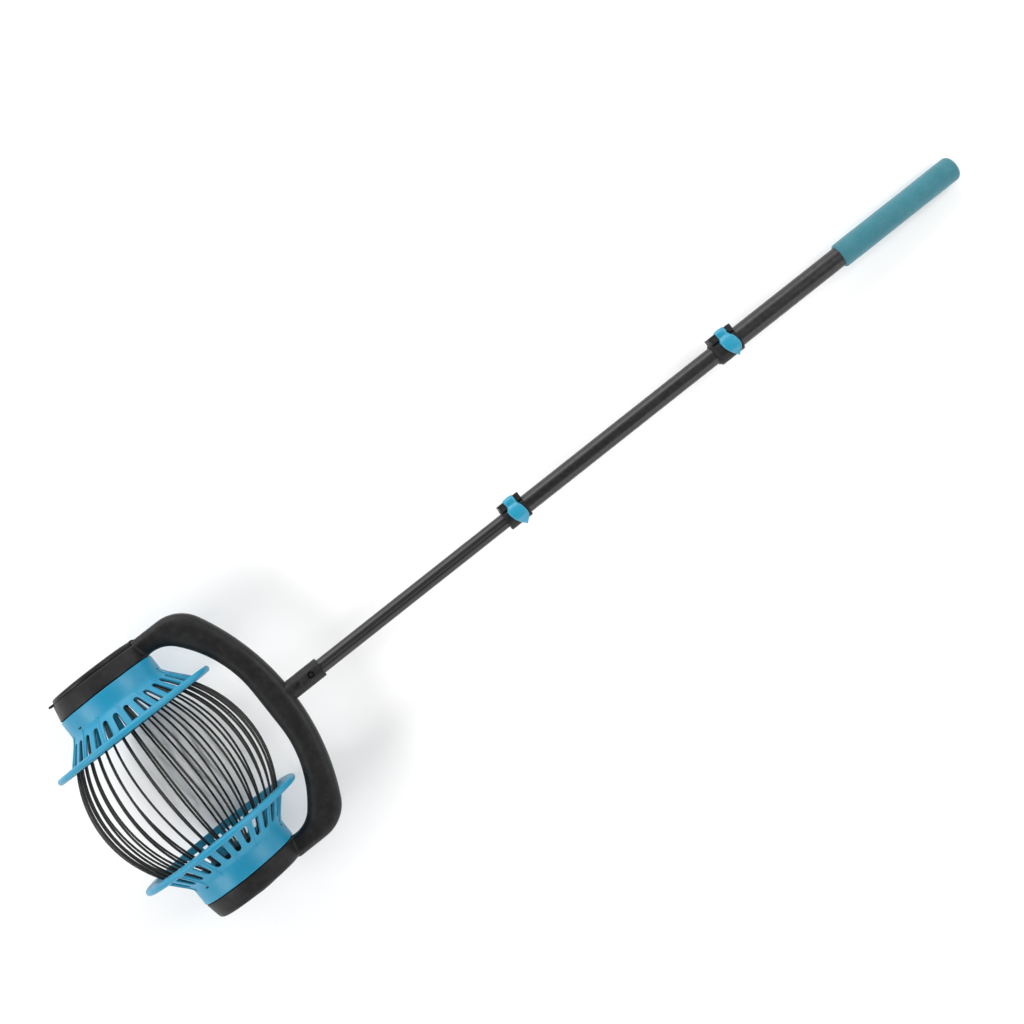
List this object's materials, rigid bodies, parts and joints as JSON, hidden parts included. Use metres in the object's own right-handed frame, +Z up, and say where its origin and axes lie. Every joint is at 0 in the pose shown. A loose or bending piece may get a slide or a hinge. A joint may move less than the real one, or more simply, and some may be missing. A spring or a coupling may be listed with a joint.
{
  "type": "rolling_fruit_picker_basket",
  "caption": "Rolling fruit and nut gatherer: sprung wire basket between slotted blue end caps, spinning in a black yoke on a telescopic pole with flip-lever clamps and a foam grip",
  "frame": {"origin": "on the floor, under the middle of the bounding box, with the tool lying on its two flanges and the end of its grip", "axes": "+X along the basket's axle from the lid side to the closed hub, +Y horizontally up the pole towards the grip, +Z up; the pole leans down 4.48 degrees towards the grip"},
  "size_m": [0.316, 1.2626, 0.211],
  "materials": {
    "black_plastic": "moulded black plastic with a soft satin sheen",
    "blue_plastic": "moulded cyan blue plastic, lightly glossy",
    "lever_blue": "moulded cyan blue plastic, glossy, bright bevelled rim",
    "grip_foam": "closed-cell foam, teal blue, matt with a fine grain",
    "tube_black": "black powder-coated tube, satin",
    "wire_black": "dark coated spring wire",
    "steel": "plated steel hardware",
    "nylon": "natural nylon bearing plastic"
  },
  "bodies": {
    "head": {"yoke": "black_plastic", "hub_plug": "black_plastic", "lid_hinge_pin": "steel", "lower_tube": "tube_black", "lower_tube_bush": "nylon", "socket_screw": "steel", "snap_button_spring": "steel"},
    "lid": {"emptying_lid": "black_plastic"},
    "basket": {"left_cap": "blue_plastic", "right_cap": "blue_plastic", "basket_wires": "wire_black", "left_wire_ring": "black_plastic", "right_wire_ring": "black_plastic", "left_bearing_sleeve": "nylon", "right_bearing_sleeve": "nylon"},
    "button": {"snap_button": "steel"},
    "middle_section": {"middle_tube": "tube_black", "middle_tube_bush": "nylon", "lower_collar": "black_plastic", "lower_lever_pin": "steel", "lower_clamp_screw": "steel"},
    "lower_flip": {"lower_lever": "lever_blue"},
    "top_section": {"top_tube": "tube_black", "upper_collar": "black_plastic", "upper_lever_pin": "steel", "upper_clamp_screw": "steel", "tube_end_plug": "black_plastic", "foam_grip": "grip_foam"},
    "upper_flip": {"upper_lever": "lever_blue"}
  },
  "joints": [
    {"name": "basket_spin", "type": "hinge", "parent": "head", "child": "basket", "pos_m": [0, -0.52582, 0.1055], "axis": [1, 0, 0], "continuous": true},
    {"name": "lid_hinge", "type": "hinge", "parent": "head", "child": "lid", "pos_m": [-0.155, -0.46949, 0.10109], "axis": [0, -0.0781, -0.9969], "range_deg": [0, 100]},
    {"name": "snap_button_press", "type": "slide", "parent": "head", "child": "button", "axis": [0, -0.0781, -0.9969], "range_m": [0, 0.003], "stiffness_N_per_m": 1200, "springref_m": -0.001, "deforming": ["snap_button_spring"]},
    {"name": "lower_telescope", "type": "slide", "parent": "head", "child": "middle_section", "axis": [0, -0.9969, 0.0781], "range_m": [0, 0.262]},
    {"name": "lower_lever_flip", "type": "hinge", "parent": "middle_section", "child": "lower_flip", "pos_m": [-0.0149, -0.03461, 0.07626], "axis": [0, -0.9969, 0.0781], "range_deg": [0, 120]},
    {"name": "upper_telescope", "type": "slide", "parent": "middle_section", "child": "top_section", "axis": [0, -0.9969, 0.0781], "range_m": [0, 0.272]},
    {"name": "upper_lever_flip", "type": "hinge", "parent": "top_section", "child": "upper_flip", "pos_m": [-0.0162, 0.27953, 0.05286], "axis": [0, -0.9969, 0.0781], "range_deg": [0, 120]}
  ]
}
